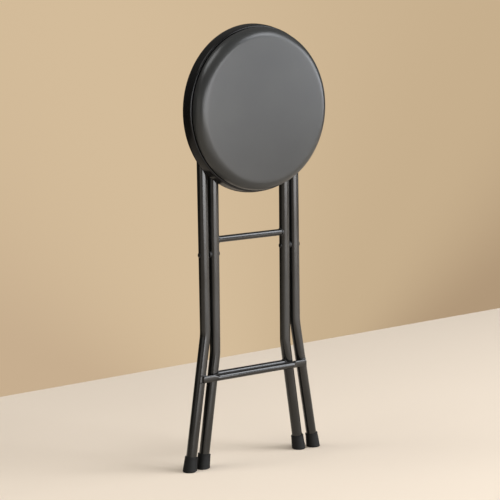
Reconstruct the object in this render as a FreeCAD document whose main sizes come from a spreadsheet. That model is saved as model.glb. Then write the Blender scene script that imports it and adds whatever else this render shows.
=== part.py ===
import FreeCAD, Part
import math
import os
import re
import Sketcher

from FreeCAD import Placement, Rotation, Vector

# Folding stool, modelled folded flat, as it stands when put away. Sizes are in millimetres.
# X runs across the frames, -Y is the side that the seat faces, Z is up and the floor is z = 0.
# The two bent tube frames cross at the pivot rivets. The seat hangs on the top bar of the
# inner frame and drops onto the top bar of the outer frame when the stool is opened.

SIZES = (
    # frames of bent steel tube
    ("tube_radius", 9.5),
    ("tube_wall", 1.2),
    ("inner_half_width", 79.5),
    ("leg_gap", 3.1),
    ("pivot_height", 388.0),
    ("inner_arm", 195.0),
    ("bar_spacing", 20.8),
    ("bar_straight", 43.5),
    ("knee_radius", 110.0),
    ("inner_knee_height", 208.3),
    ("outer_knee_height", 244.5),
    ("stance_inset", 8.3616),
    ("feet_step", 31.3793),
    ("closed_lean", 0.6),
    # bars across the frames
    ("rod_radius", 6.0),
    ("brace_height", 413.0),
    ("inner_crossbar_height", 168.3),
    ("outer_crossbar_height", 166.0),
    ("crossbar_stand_off", 13.5),
    ("crossbar_end_thickness", 6.2),
    ("crossbar_flat_length", 22.0),
    ("crossbar_slope_length", 13.0),
    ("crossbar_overhang", 2.0),
    ("weld_bite", 0.4),
    # pivots
    ("rivet_radius", 3.0),
    ("rivet_head_radius", 4.4),
    ("rivet_head_rim", 0.6),
    ("rivet_head_dome", 1.6),
    ("pivot_clearance", 0.05),
    ("spacer_radius", 6.5),
    ("spacer_clearance", 0.2),
    # rubber feet
    ("foot_rim_radius", 11.3),
    ("foot_sole_radius", 12.9),
    ("foot_length", 27.0),
    ("foot_floor", 5.0),
    ("foot_rim_rounding", 0.7),
    ("sole_rounding", 2.2),
    ("sole_flat_bevel", 66.0),
    ("sole_steep_bevel", 24.0),
    ("sole_steep_share", 0.42),
    # seat; an inset is measured from the pan's outer radius
    ("pan_radius", 150.0),
    ("hinge_inset", 90.0),
    ("pan_lip_inset", 2.6),
    ("pan_edge_gap", 10.6),
    ("pan_depth", 19.4),
    ("pan_wall", 1.2),
    ("pan_corner", 2.6),
    ("pan_hole_inset", 22.0),
    ("board_inset", 11.5),
    ("board_thickness", 9.0),
    ("cover_thickness", 1.0),
    ("cover_hem_inset", 24.5),
    ("cushion_foot_inset", 9.4),
    ("cushion_inset", 5.6),
    ("cushion_belt", 8.4),
    ("cushion_edge_radius", 13.2),
    ("cushion_rise", 25.2),
    # hinge of the seat
    ("hinge_clearance", 0.06),
    ("sleeve_wall", 1.2),
    ("sleeve_length", 28.0),
    ("sleeve_corner_gap", 2.5),
    ("bracket_sheet", 1.8),
    ("bracket_near", 32.0),
    ("bracket_far", 56.0),
    ("bracket_tail", 5.4),
    ("bracket_grip_share", 0.65),
    ("bracket_elbow_out", 24.0),
    ("bracket_elbow_up", 13.5),
    # saddle clips that take the outer top bar
    ("catch_inset", 59.4),
    ("clip_clearance", 0.3),
    ("clip_place", 40.0),
    ("clip_width", 22.0),
    ("clip_jaw", 3.6),
    ("clip_flange", 7.5),
    ("clip_flange_thickness", 4.0),
    ("clip_reach", 4.0),
    ("clip_mouth", 1.0),
    # wood screws
    ("screw_radius", 2.0),
    ("screw_head_radius", 3.9),
    ("screw_head_back_radius", 2.4),
    ("screw_head_height", 2.2),
    ("screw_bite", 7.0),
    ("bracket_screw_from_near", 7.8),
    ("bracket_screw_from_far", 4.7),
    ("pan_screw_inset", 16.6),
    ("pan_screw_count", 6),
)

# How far a cutting outline runs past the piece that it cuts.
PAST = "1"
NONE = "0"
ROUND_TOLERANCE = 0.05
QUARTER_TURN = 90
WHOLE_TURN = 360

os.makedirs("parts", exist_ok=True)
doc = FreeCAD.newDocument("FoldingStool")
sheet = doc.addObject("Spreadsheet::Sheet", "Sizes")
for row, (alias, value) in enumerate(SIZES, start=1):
    sheet.set(f"A{row}", alias)
    sheet.set(f"B{row}", str(value))
    sheet.setAlias(f"B{row}", alias)
doc.recompute()
ALIASES = {alias for alias, value in SIZES}

X_AXIS = Vector(1, 0, 0)
Y_AXIS = Vector(0, 1, 0)
SIDES = (("left", -1), ("right", 1))
pieces = []


def linked(formula):
    """Turn a formula in plain size names into one that reads the sheet."""

    def full_name(word):
        return f"Sizes.{word[0]}" if word[0] in ALIASES else word[0]

    return re.sub(r"[a-z_]{3,}", full_name, formula)


def worth(formula):
    """Give the number that a formula of sizes comes to."""
    result = sheet.evalExpression(linked(formula))
    return float(getattr(result, "Value", result))


def bind(thing, **formulas):
    """Bind properties of one object to formulas of sizes."""
    for name, formula in formulas.items():
        thing.setExpression(name, linked(formula))
    return thing


def keep(thing, label):
    """Name an object as a finished piece of the stool."""
    thing.Label = label
    pieces.append(thing)
    return thing


# The sizes that follow from others, as formulas of the sheet.
INNER_BAR = "(pivot_height + inner_arm)"
OUTER_BAR = "(pivot_height + inner_arm + bar_spacing)"
# The outer legs stand beside the inner ones with a gap for the spacer. Half of the inner top bar
# stays straight, for its sleeve, and both frames have the bend that is left at its end.
OUTER_HALF = "(inner_half_width + 2 * tube_radius + leg_gap)"
CORNER_RADIUS = "(inner_half_width - bar_straight)"
SLEEVE_PLACE = "(bar_straight - sleeve_corner_gap - sleeve_length / 2)"
# The shins splay from the knees until the feet stand about as wide as the seat, the inner feet
# one step inside the outer ones. Both angles are in degrees.
OUTER_SPLAY = f"(pan_radius - stance_inset - {OUTER_HALF})"
INNER_SPLAY = "(pan_radius - stance_inset - feet_step - inner_half_width)"
OUTER_FLARE = f"(atan({OUTER_SPLAY} / outer_knee_height) / 1 deg)"
INNER_FLARE = f"(atan({INNER_SPLAY} / inner_knee_height) / 1 deg)"
HINGE_OFFSET = "(pan_radius - hinge_inset)"
PAN_LIP_RADIUS = "(pan_radius - pan_lip_inset)"
PAN_HOLE_RADIUS = "(pan_radius - pan_hole_inset)"
PAN_FRONT = "(pan_edge_gap + pan_depth)"
BOARD_RADIUS = "(pan_radius - board_inset)"
BOARD_BACK = "(pan_edge_gap + pan_depth + cover_thickness)"
APEX = "(pan_edge_gap + pan_depth + cushion_rise)"
SLEEVE_RADIUS = "(tube_radius + hinge_clearance + sleeve_wall)"
# Open for use, the outer top bar meets the clips: so far up the seat from its hinge, and so far
# in from its face, at half of the angle between the two frames.
SWING = "(2 * inner_arm + bar_spacing)"
CLIP_OUT = f"({HINGE_OFFSET} + pan_radius - catch_inset)"
CLIP_UP = f"(bar_spacing * cos(asin({CLIP_OUT} / {SWING})))"

# The box is centred in depth: the seat's crown is furthest forward, the feet furthest back.
frame_depth = worth(f"({APEX} - foot_sole_radius) / 2")
pivot_point = Vector(0, 0, worth("pivot_height"))
STANDING = Placement(Vector(0, frame_depth, 0), Rotation())
lean = Placement(Vector(), Rotation(X_AXIS, -worth("closed_lean")), pivot_point)
LEANING = STANDING.multiply(lean)
hinge_drop = worth(HINGE_OFFSET)
seat_centre = Vector(0, frame_depth, worth(INNER_BAR) + hinge_drop)
SEAT = Placement(seat_centre, Rotation(X_AXIS, QUARTER_TURN))


def along_x(start, placement):
    """Place a cylinder's own axis along X, from a start point, in a body's placement."""
    return placement.multiply(Placement(start, Rotation(Y_AXIS, QUARTER_TURN)))


def cylinder(name, radius, length, placement):
    """Make a cylinder whose radius and length follow the sheet."""
    solid = doc.addObject("Part::Cylinder", name)
    bind(solid, Radius=radius, Height=length)
    solid.Placement = placement
    return solid


def cut(name, base, tool):
    """Take one object away from another."""
    result = doc.addObject("Part::Cut", name)
    result.Base = base
    result.Tool = tool
    return result


def fused(name, members):
    """Join touching or overlapping objects into one."""
    result = doc.addObject("Part::MultiFuse", name)
    result.Shapes = members
    return result


def origin_plane(body, role):
    """Find one of a body's own origin planes."""
    return next(feature for feature in body.Origin.OriginFeatures if feature.Role == role)


def add_sketch(body, role, name, offset=None):
    """Add a sketch on one of a body's origin planes, offset along its normal by a formula."""
    sketch = body.newObject("Sketcher::SketchObject", name)
    sketch.AttachmentSupport = [(origin_plane(body, role), "")]
    sketch.MapMode = "FlatFace"
    if offset:
        sketch.setExpression("AttachmentOffset.Base.z", linked(offset))
    return sketch


def constrain(sketch, kind, *where, formula):
    """Add a dimension to a sketch and bind it to a formula of sizes."""
    index = sketch.addConstraint(Sketcher.Constraint(kind, *where, worth(formula)))
    sketch.setExpression(f"Constraints[{index}]", linked(formula))


def add_polygon(sketch, corners):
    """Draw a closed outline whose corners are all bound to the sheet."""
    points = [Vector(worth(across), worth(up), 0) for across, up in corners]
    lines = []
    for start, end in zip(points, points[1:] + points[:1]):
        lines.append(sketch.addGeometry(Part.LineSegment(start, end), False))
    for line, after in zip(lines, lines[1:] + lines[:1]):
        sketch.addConstraint(Sketcher.Constraint("Coincident", line, 2, after, 1))
    for line, (across, up) in zip(lines, corners):
        constrain(sketch, "DistanceX", line, 1, formula=across)
        constrain(sketch, "DistanceY", line, 1, formula=up)


def add_circle(sketch, across, up, radius):
    """Draw a circle with its centre and radius bound to the sheet."""
    centre = Vector(worth(across), worth(up), 0)
    circle = sketch.addGeometry(Part.Circle(centre, Vector(0, 0, 1), worth(radius)), False)
    constrain(sketch, "DistanceX", circle, 3, formula=across)
    constrain(sketch, "DistanceY", circle, 3, formula=up)
    constrain(sketch, "Radius", circle, formula=radius)


def pad(body, sketch, length):
    """Pad a sketch by the same amount to both sides."""
    feature = body.newObject("PartDesign::Pad", "Pad")
    feature.Profile = sketch
    feature.SideType = "Symmetric"
    bind(feature, Length=length)
    return feature


def pocket_through(body, sketch, length):
    """Cut a sketch out by the same amount to both sides."""
    feature = body.newObject("PartDesign::Pocket", "Pocket")
    feature.Profile = sketch
    feature.SideType = "Symmetric"
    bind(feature, Length=length)
    return feature


def is_ring(edge, radius):
    """Tell whether an edge is a full circle of about a radius."""
    if not edge.Closed or not hasattr(edge.Curve, "Radius"):
        return False
    return abs(edge.Curve.Radius - radius) < ROUND_TOLERANCE


def round_edges(feature, radius, wanted):
    """Round the edges of a body's feature that a test picks out."""
    doc.recompute()
    names = [f"Edge{i}" for i, edge in enumerate(feature.Shape.Edges, start=1) if wanted(edge)]
    fillet = feature.getParentGeoFeatureGroup().newObject("PartDesign::Fillet", "Fillet")
    fillet.Base = (feature, names)
    bind(fillet, Radius=radius)
    return fillet


def frame_tube(label, half_width, bar_height, knee_height, flare, placement):
    """Bend one hollow tube into a hoop with two legs that splay out near the floor."""
    body = doc.addObject("PartDesign::Body", label)
    section = add_sketch(body, "YZ_Plane", "Section")
    add_circle(section, NONE, bar_height, "tube_radius")
    add_circle(section, NONE, bar_height, "tube_radius - tube_wall")

    half = worth(half_width)
    top = worth(bar_height)
    bend = worth(CORNER_RADIUS)
    knee = worth("knee_radius")
    splay = math.radians(worth(flare))
    knee_top = f"{knee_height} + knee_radius * tan({flare} / 2 * 1 deg)"
    shoulder = Vector(half - bend, top, 0)
    leg_top = Vector(half, top - bend, 0)
    leg_end = Vector(half, worth(knee_top), 0)
    knee_centre = Vector(half + knee, leg_end.y, 0)
    shin_top = knee_centre + Vector(-knee * math.cos(splay), -knee * math.sin(splay), 0)
    drop = shin_top.y - worth("foot_floor")
    shin_end = shin_top + Vector(drop * math.tan(splay), -drop, 0)

    path = add_sketch(body, "XZ_Plane", "Path")
    bar = path.addGeometry(Part.LineSegment(Vector(0, top, 0), shoulder), False)
    corner_circle = Part.Circle(Vector(shoulder.x, leg_top.y, 0), Vector(0, 0, 1), bend)
    corner = path.addGeometry(Part.ArcOfCircle(corner_circle, 0, math.pi / 2), False)
    leg = path.addGeometry(Part.LineSegment(leg_top, leg_end), False)
    knee_circle = Part.Circle(knee_centre, Vector(0, 0, 1), knee)
    turn = path.addGeometry(Part.ArcOfCircle(knee_circle, math.pi, math.pi + splay), False)
    shin = path.addGeometry(Part.LineSegment(shin_top, shin_end), False)
    for first, first_end, second, second_end in (
        (bar, 2, corner, 2),
        (corner, 1, leg, 1),
        (leg, 2, turn, 1),
        (turn, 2, shin, 1),
    ):
        path.addConstraint(Sketcher.Constraint("Tangent", first, first_end, second, second_end))
    path.addConstraint(Sketcher.Constraint("Horizontal", bar))
    path.addConstraint(Sketcher.Constraint("Vertical", leg))
    path.addConstraint(Sketcher.Constraint("PointOnObject", bar, 1, -2))
    constrain(path, "DistanceY", bar, 1, formula=bar_height)
    constrain(path, "Radius", corner, formula=CORNER_RADIUS)
    constrain(path, "DistanceX", leg, 1, formula=half_width)
    constrain(path, "DistanceY", leg, 2, formula=knee_top)
    constrain(path, "Radius", turn, formula="knee_radius")
    angle = path.addConstraint(Sketcher.Constraint("Angle", shin, splay - math.pi / 2))
    path.setExpression(f"Constraints[{angle}]", linked(f"({flare} - 90) * 1 deg"))
    constrain(path, "DistanceY", shin, 2, formula="foot_floor")

    pipe = body.newObject("PartDesign::AdditivePipe", "Pipe")
    pipe.Profile = section
    pipe.Spine = (path, [])
    mirror = body.newObject("PartDesign::Mirrored", "Mirror")
    mirror.Originals = [pipe]
    mirror.MirrorPlane = (origin_plane(body, "YZ_Plane"), [""])
    body.Tip = mirror
    doc.recompute()

    hole = add_sketch(body, "YZ_Plane", "PivotHole")
    add_circle(hole, NONE, "pivot_height", "rivet_radius + pivot_clearance")
    body.Tip = pocket_through(body, hole, f"2 * ({half_width} + 2 * tube_radius)")
    body.Placement = placement
    return keep(body, label)


def leg_core(name, half_width, side, placement):
    """Make the full round of a leg where it is upright, to cope other pieces to it."""
    start = Vector(side * worth(half_width), 0, worth("brace_height") / 2)
    place = placement.multiply(Placement(start, Rotation()))
    return cylinder(name, "tube_radius", "brace_height", place)


def shin_placement(half_width, knee_height, flare, side, height):
    """Give the place on a splayed leg's axis at a height, with Z up along the leg."""
    across = worth(f"{half_width} + ({knee_height} - {height}) * tan({flare} * 1 deg)")
    start = Vector(side * across, 0, worth(height))
    return Placement(start, Rotation(Y_AXIS, -side * worth(flare)))


def shin_core(name, half_width, knee_height, flare, side, placement):
    """Make the full round of a splayed leg near its bar, to cope the bar to it."""
    place = shin_placement(half_width, knee_height, flare, side, "inner_crossbar_height / 2")
    return cylinder(name, "tube_radius", "inner_crossbar_height", placement.multiply(place))


def both_cores(maker, name, *arguments):
    """Make the left and right round of a leg pair as one cutting tool."""
    *sizes, placement = arguments
    return fused(name, [maker(f"{name}{side}", *sizes, sign, placement) for side, sign in SIDES])


INNER = ("inner_half_width", "inner_knee_height", INNER_FLARE)
OUTER = (OUTER_HALF, "outer_knee_height", OUTER_FLARE)

inner_tube = frame_tube("inner_frame_tube", INNER[0], INNER_BAR, INNER[1], INNER[2], STANDING)
outer_tube = frame_tube("outer_frame_tube", OUTER[0], OUTER_BAR, OUTER[1], OUTER[2], LEANING)
inner_legs = both_cores(leg_core, "InnerLegs", INNER[0], STANDING)
inner_shins = both_cores(shin_core, "InnerShins", *INNER, STANDING)
outer_shins = both_cores(shin_core, "OuterShins", *OUTER, LEANING)


def cross_rod(label, height, half_length, tool):
    """Make a round rod between the inner legs, coped to their sides."""
    start = Vector(-worth(half_length), 0, worth(height))
    rod = cylinder(f"{label}_blank", "rod_radius", f"2 * {half_length}", along_x(start, STANDING))
    return keep(cut(label, rod, tool), label)


# The rods start well inside the legs and are cut back to their surface.
INNER_DROP = "(inner_knee_height - inner_crossbar_height)"
LOWER_SPAN = f"(inner_half_width + {INNER_DROP} * tan({INNER_FLARE} * 1 deg))"
cross_rod("brace_rod", "brace_height", "inner_half_width", inner_legs)
cross_rod("inner_crossbar", "inner_crossbar_height", LOWER_SPAN, inner_shins)


def outer_crossbar():
    """Make the front crossbar: a round rod pressed flat at both ends and laid on the outer legs."""
    body = doc.addObject("PartDesign::Body", "crossbar_blank")
    drop = "(outer_knee_height - outer_crossbar_height)"
    tip = f"({OUTER_HALF} + {drop} * tan({OUTER_FLARE} * 1 deg) + crossbar_overhang)"
    flat = f"({tip} - crossbar_flat_length)"
    slope = f"({flat} - crossbar_slope_length)"
    section = add_sketch(body, "YZ_Plane", "Section")
    add_circle(section, "-crossbar_stand_off", "outer_crossbar_height", "rod_radius")
    rod = pad(body, section, f"2 * {tip}")
    back = "-(tube_radius - weld_bite)"
    front = f"({back} - crossbar_end_thickness)"
    cuts = []
    for name, face, outside, away in (
        ("Back", back, "-crossbar_stand_off + rod_radius", "+"),
        ("Front", front, "-crossbar_stand_off - rod_radius", "-"),
    ):
        sketch = add_sketch(body, "XY_Plane", f"{name}Flat", "outer_crossbar_height")
        corners = (
            (slope, outside),
            (flat, face),
            (f"{tip} + {PAST}", face),
            (f"{tip} + {PAST}", f"{outside} {away} {PAST}"),
            (slope, f"{outside} {away} {PAST}"),
        )
        add_polygon(sketch, corners)
        cuts.append(pocket_through(body, sketch, "4 * rod_radius"))
    mirror = body.newObject("PartDesign::Mirrored", "Mirror")
    mirror.Originals = cuts
    mirror.MirrorPlane = (origin_plane(body, "YZ_Plane"), [""])
    body.Tip = mirror
    body.Placement = LEANING
    return keep(cut("outer_crossbar", body, outer_shins), "outer_crossbar")


outer_crossbar()


def rivet_head(name, side, surface, outward, sink):
    """Make a domed rivet head on a leg's side, its rim sunk by some depth or, below 0, clear of it."""
    turn = Rotation(Y_AXIS, QUARTER_TURN * side * outward)
    start = Vector(side * (worth(surface) - outward * worth(sink)), 0, worth("pivot_height"))
    place = STANDING.multiply(Placement(start, turn))
    rim_height = f"({sink} + rivet_head_rim)"
    rim = cylinder(f"{name}Rim", "rivet_head_radius", rim_height, place)
    ball = "((rivet_head_radius ^ 2 + rivet_head_dome ^ 2) / (2 * rivet_head_dome))"
    dome = doc.addObject("Part::Sphere", f"{name}Dome")
    bind(dome, Radius=ball, Angle1=f"asin(({ball} - rivet_head_dome) / {ball})")
    centre = Vector(0, 0, worth(f"{rim_height} + rivet_head_dome - {ball}"))
    dome.Placement = place.multiply(Placement(centre, Rotation()))
    return fused(name, [rim, dome])


def pivot(side_name, side):
    """Make one pivot rivet and the spacer that keeps the two legs apart."""
    inside = "(inner_half_width - tube_radius)"
    outside = f"({OUTER_HALF} + tube_radius)"
    outer_end = worth(f"{outside} + spacer_clearance")
    start = Vector(worth(inside) if side > 0 else -outer_end, 0, worth("pivot_height"))
    shank_length = f"{outside} - {inside} + spacer_clearance"
    shank = cylinder(f"Shank{side_name}", "rivet_radius", shank_length, along_x(start, STANDING))
    # The inner head is formed down onto its leg. The outer one is flat, so that its leg can turn.
    sink = "(tube_radius - sqrt(tube_radius ^ 2 - rivet_head_radius ^ 2))"
    inner_head = rivet_head(f"InnerHead{side_name}", side, inside, -1, sink)
    formed = cut(f"FormedHead{side_name}", inner_head, inner_legs)
    outer_head = rivet_head(f"OuterHead{side_name}", side, outside, 1, "-spacer_clearance")
    keep(fused(f"Rivet{side_name}", [shank, formed, outer_head]), f"pivot_rivet_{side_name}")

    gap_start = "(inner_half_width + tube_radius / 2)"
    gap_end = f"({OUTER_HALF} - tube_radius - spacer_clearance)"
    near = Vector(worth(gap_start) if side > 0 else -worth(gap_end), 0, worth("pivot_height"))
    place = along_x(near, STANDING)
    ring = cylinder(f"Ring{side_name}", "spacer_radius", f"{gap_end} - {gap_start}", place)
    hole = cylinder(f"RingHole{side_name}", "rivet_radius", f"{gap_end} - {gap_start}", place)
    drilled = cut(f"Drilled{side_name}", ring, hole)
    keep(cut(f"Spacer{side_name}", drilled, inner_legs), f"pivot_spacer_{side_name}")


for side_name, side in SIDES:
    pivot(side_name, side)


def sole_bevel(name, place, inset, slope):
    """Make an upright cone that opens from the floor, to trim a sole's edge at one slope."""
    height = "(2 * foot_length)"
    bevel = doc.addObject("Part::Cone", name)
    start = f"(foot_sole_radius - sole_rounding * {inset})"
    end = f"({start} + {height} * tan({slope} * 1 deg))"
    bind(bevel, Radius1=start, Radius2=end, Height=height)
    bevel.Placement = Placement(Vector(place.Base.x, place.Base.y, 0), Rotation())
    return bevel


def foot(label, half_width, knee_height, flare, side, placement):
    """Make a flared rubber cap over the end of a leg, level where it stands."""
    sole = shin_placement(half_width, knee_height, flare, side, NONE)
    below = f"(foot_sole_radius * tan({OUTER_FLARE} * 1 deg) + foot_floor)"
    place = placement.multiply(sole)
    blank = doc.addObject("Part::Cone", f"{label}_cone")
    growth = "((foot_sole_radius - foot_rim_radius) / foot_length)"
    bind(blank, Radius1=f"foot_sole_radius + {below} * {growth}", Radius2="foot_rim_radius")
    bind(blank, Height=f"foot_length + {below}")
    blank.Placement = place.multiply(Placement(Vector(0, 0, -worth(below)), Rotation()))
    doc.recompute()
    rim = doc.addObject("Part::Fillet", f"{label}_rim")
    rim.Base = blank
    radius = worth("foot_rim_rounding")
    rim_radius = worth("foot_rim_radius")
    rim.Edges = [
        (index, radius, radius)
        for index, edge in enumerate(blank.Shape.Edges, start=1)
        if is_ring(edge, rim_radius)
    ]
    socket_start = shin_placement(half_width, knee_height, flare, side, "foot_floor")
    socket = cylinder(f"{label}_socket", "tube_radius", "foot_length", placement.multiply(socket_start))
    # Two cones trim the sole's edge: a flat slope and a steep one stand in for its rounding.
    trimmed = doc.addObject("Part::MultiCommon", f"{label}_trimmed")
    trimmed.Shapes = [
        rim,
        sole_bevel(f"{label}_flat_bevel", place, "1", "sole_flat_bevel"),
        sole_bevel(f"{label}_steep_bevel", place, "sole_steep_share", "sole_steep_bevel"),
    ]
    return keep(cut(label, trimmed, socket), label)


for side_name, side in SIDES:
    foot(f"inner_foot_{side_name}", *INNER, side, STANDING)
    foot(f"outer_foot_{side_name}", *OUTER, side, LEANING)


def seat_place(across, up, out):
    """Give a place on the seat: across, up its face from its centre, and out towards its face."""
    return SEAT.multiply(Placement(Vector(across, up, out), Rotation()))


# Wood screws. Each is driven towards the face of the seat, with its head behind.
def wood_screw(name, across, up, head_seat):
    """Make one wood screw, its head against the piece that it holds."""
    start = seat_place(across, up, worth(head_seat))
    length = f"{BOARD_BACK} - {head_seat} + screw_bite"
    shank = cylinder(f"{name}Shank", "screw_radius", length, start)
    head = doc.addObject("Part::Cone", f"{name}Head")
    bind(head, Radius1="screw_head_back_radius", Radius2="screw_head_radius")
    bind(head, Height="screw_head_height")
    head.Placement = seat_place(across, up, worth(f"{head_seat} - screw_head_height"))
    return fused(name, [shank, head])


BRACKET_FACE = f"({BOARD_BACK} - bracket_sheet)"
CLIP_FACE = f"({BOARD_BACK} - clip_flange_thickness)"
bracket_rows = ("bracket_near + bracket_screw_from_near", "bracket_far - bracket_screw_from_far")
clip_row = "(tube_radius + clip_clearance + clip_jaw + clip_flange / 2)"

hinge_screw_list = []
clip_screw_list = []
for side_name, side in SIDES:
    for number, row in enumerate(bracket_rows):
        place = (side * worth(SLEEVE_PLACE), -hinge_drop - worth(row))
        hinge_screw_list.append(wood_screw(f"HingeScrew{side_name}{number}", *place, BRACKET_FACE))
    for number, sign in enumerate((-1, 1)):
        up = worth(f"{CLIP_OUT} + {sign} * {clip_row}") - hinge_drop
        place = (side * worth("clip_place"), up)
        clip_screw_list.append(wood_screw(f"ClipScrew{side_name}{number}", *place, CLIP_FACE))

pan_screw_list = []
pan_screw_count = int(worth("pan_screw_count"))
for number in range(pan_screw_count):
    angle = math.tau * number / pan_screw_count
    circle = worth("pan_radius - pan_screw_inset")
    place = (circle * math.cos(angle), circle * math.sin(angle))
    pan_screw_list.append(wood_screw(f"PanScrew{number}", *place, f"{PAN_FRONT} - pan_wall"))


def screw_group(label, members):
    """Keep a set of identical screws as one piece of separate solids."""
    group = doc.addObject("Part::Compound", label)
    group.Links = members
    return keep(group, label)


hinge_screws = screw_group("hinge_screws", hinge_screw_list)
clip_screws = screw_group("clip_screws", clip_screw_list)
pan_screws = screw_group("pan_screws", pan_screw_list)


def seat_pan():
    """Press the steel pan: a slightly drawn-in skirt, a rounded lip and a flange for the board."""
    body = doc.addObject("PartDesign::Body", "pan_blank")
    profile = add_sketch(body, "XZ_Plane", "Profile")
    corners = (
        ("pan_radius", "pan_edge_gap"),
        (PAN_LIP_RADIUS, PAN_FRONT),
        (PAN_HOLE_RADIUS, PAN_FRONT),
        (PAN_HOLE_RADIUS, f"{PAN_FRONT} - pan_wall"),
        (f"{PAN_LIP_RADIUS} - pan_wall", f"{PAN_FRONT} - pan_wall"),
        ("pan_radius - pan_wall", "pan_edge_gap"),
    )
    add_polygon(profile, corners)
    ring = body.newObject("PartDesign::Revolution", "Ring")
    ring.Profile = profile
    ring.ReferenceAxis = (profile, ["V_Axis"])
    ring.Angle = WHOLE_TURN
    lip = worth(PAN_LIP_RADIUS)
    inner_lip = lip - worth("pan_wall")
    inner = round_edges(ring, "pan_corner - pan_wall", lambda edge: is_ring(edge, inner_lip))
    body.Tip = round_edges(inner, "pan_corner", lambda edge: is_ring(edge, lip))
    body.Placement = SEAT
    return keep(cut("seat_pan", body, pan_screws), "seat_pan")


seat_pan()
all_screws = fused("AllScrews", [hinge_screws, clip_screws, pan_screws])
board_place = seat_place(0, 0, worth(BOARD_BACK))
board = cylinder("board_blank", BOARD_RADIUS, "board_thickness", board_place)
keep(cut("seat_board", board, all_screws), "seat_board")


def cushion_solid(inset):
    """Turn the crowned cushion, or the same form set in by a thickness, about the seat's axis."""
    radius = worth("pan_radius - cushion_inset")
    foot_level = worth(PAN_FRONT) + inset
    belt_level = worth(f"{PAN_FRONT} + cushion_belt")
    edge = worth("cushion_edge_radius")
    edge_centre = Vector(radius - edge, 0, belt_level)
    # The side below the belt is an arc that ends upright at the belt.
    spread = worth("cushion_foot_inset - cushion_inset")
    side = (spread**2 + worth("cushion_belt") ** 2) / (2 * spread)
    side_centre = Vector(radius - side, 0, belt_level)
    # The crown is an arc about the axis that runs smoothly into the rounded edge.
    rise = worth("cushion_rise - cushion_belt")
    crown = (edge_centre.x**2 + rise**2 - edge**2) / (2 * (rise - edge))
    crown_centre = Vector(0, 0, belt_level + rise - crown)
    out = (edge_centre - crown_centre).normalize()
    join = crown_centre + out * (crown - inset)
    apex = Vector(0, 0, belt_level + rise - inset)
    belt = Vector(radius - inset, 0, belt_level)

    def on_arc(centre, radius, start, end):
        middle = ((start - centre).normalize() + (end - centre).normalize()).normalize()
        return Part.Arc(start, centre + middle * radius, end).toShape()

    level_gap = foot_level - side_centre.z
    across = side_centre.x + math.sqrt((side - inset) ** 2 - level_gap**2)
    base = Vector(across, 0, foot_level)
    outline = Part.Wire(
        [
            Part.LineSegment(Vector(0, 0, foot_level), base).toShape(),
            on_arc(side_centre, side - inset, base, belt),
            on_arc(edge_centre, edge - inset, belt, join),
            on_arc(crown_centre, crown - inset, join, apex),
            Part.LineSegment(apex, Vector(0, 0, foot_level)).toShape(),
        ]
    )
    return Part.Face(outline).revolve(Vector(), Vector(0, 0, 1), WHOLE_TURN)


def soft_piece(label, shape):
    """Hold a turned soft shape in the document at the seat's place."""
    piece = doc.addObject("Part::Feature", label)
    piece.Shape = shape
    piece.Placement = SEAT
    return piece


def seat_cushion():
    """Make the foam on the board and the cover drawn over both and turned in under the board."""
    outside = cushion_solid(0)
    inside = cushion_solid(worth("cover_thickness"))
    thickness = worth("board_thickness")
    board_level = Vector(0, 0, worth(BOARD_BACK))
    board_round = Part.makeCylinder(worth(BOARD_RADIUS), thickness, board_level)
    hem_level = Vector(0, 0, worth(f"{PAN_FRONT} - {PAST}"))
    opening = Part.makeCylinder(worth("pan_radius - cover_hem_inset"), thickness, hem_level)
    keep(soft_piece("seat_foam", inside.cut(board_round)), "seat_foam")
    skin = soft_piece("cover_blank", outside.cut(inside).cut(opening.cut(inside)))
    keep(cut("seat_cover", skin, pan_screws), "seat_cover")


seat_cushion()


def hinge_bracket(side_name, side):
    """Make one hinge: a sleeve that turns on the inner top bar and a pressed bracket welded to it."""
    half = "sleeve_length / 2"
    middle = side * worth(SLEEVE_PLACE)
    start = Vector(middle - worth(half), -hinge_drop, 0)
    place = along_x(start, SEAT)
    outside = cylinder(f"SleeveOut{side_name}", SLEEVE_RADIUS, "sleeve_length", place)
    bore_radius = "tube_radius + hinge_clearance"
    bore = cylinder(f"SleeveBore{side_name}", bore_radius, "sleeve_length", place)
    keep(cut(f"Sleeve{side_name}", outside, bore), f"hinge_sleeve_{side_name}")

    body = doc.addObject("PartDesign::Body", f"bracket_blank_{side_name}")
    shape = add_sketch(body, "YZ_Plane", "Cheek")
    reach = f"({SLEEVE_RADIUS} * bracket_grip_share)"
    outline = (
        ("-bracket_far", BOARD_BACK),
        ("-bracket_near", BOARD_BACK),
        ("-bracket_elbow_out", "bracket_elbow_up"),
        (f"-{reach}", reach),
        (f"-{reach}", f"-{reach}"),
        ("-bracket_far", f"{BOARD_BACK} - bracket_tail"),
    )
    add_polygon(shape, outline)
    pad(body, shape, "sleeve_length")
    channel = add_sketch(body, "YZ_Plane", "Channel")
    hollow = (
        (f"-bracket_far - {PAST}", BRACKET_FACE),
        (NONE, BRACKET_FACE),
        (NONE, f"-{SLEEVE_RADIUS}"),
        (f"-bracket_far - {PAST}", f"-{SLEEVE_RADIUS}"),
    )
    add_polygon(channel, hollow)
    body.Tip = pocket_through(body, channel, "sleeve_length - 2 * bracket_sheet")
    body.Placement = seat_place(middle, -hinge_drop, 0)
    coped = cut(f"Coped{side_name}", body, outside)
    keep(cut(f"Bracket{side_name}", coped, hinge_screws), f"hinge_bracket_{side_name}")


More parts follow.
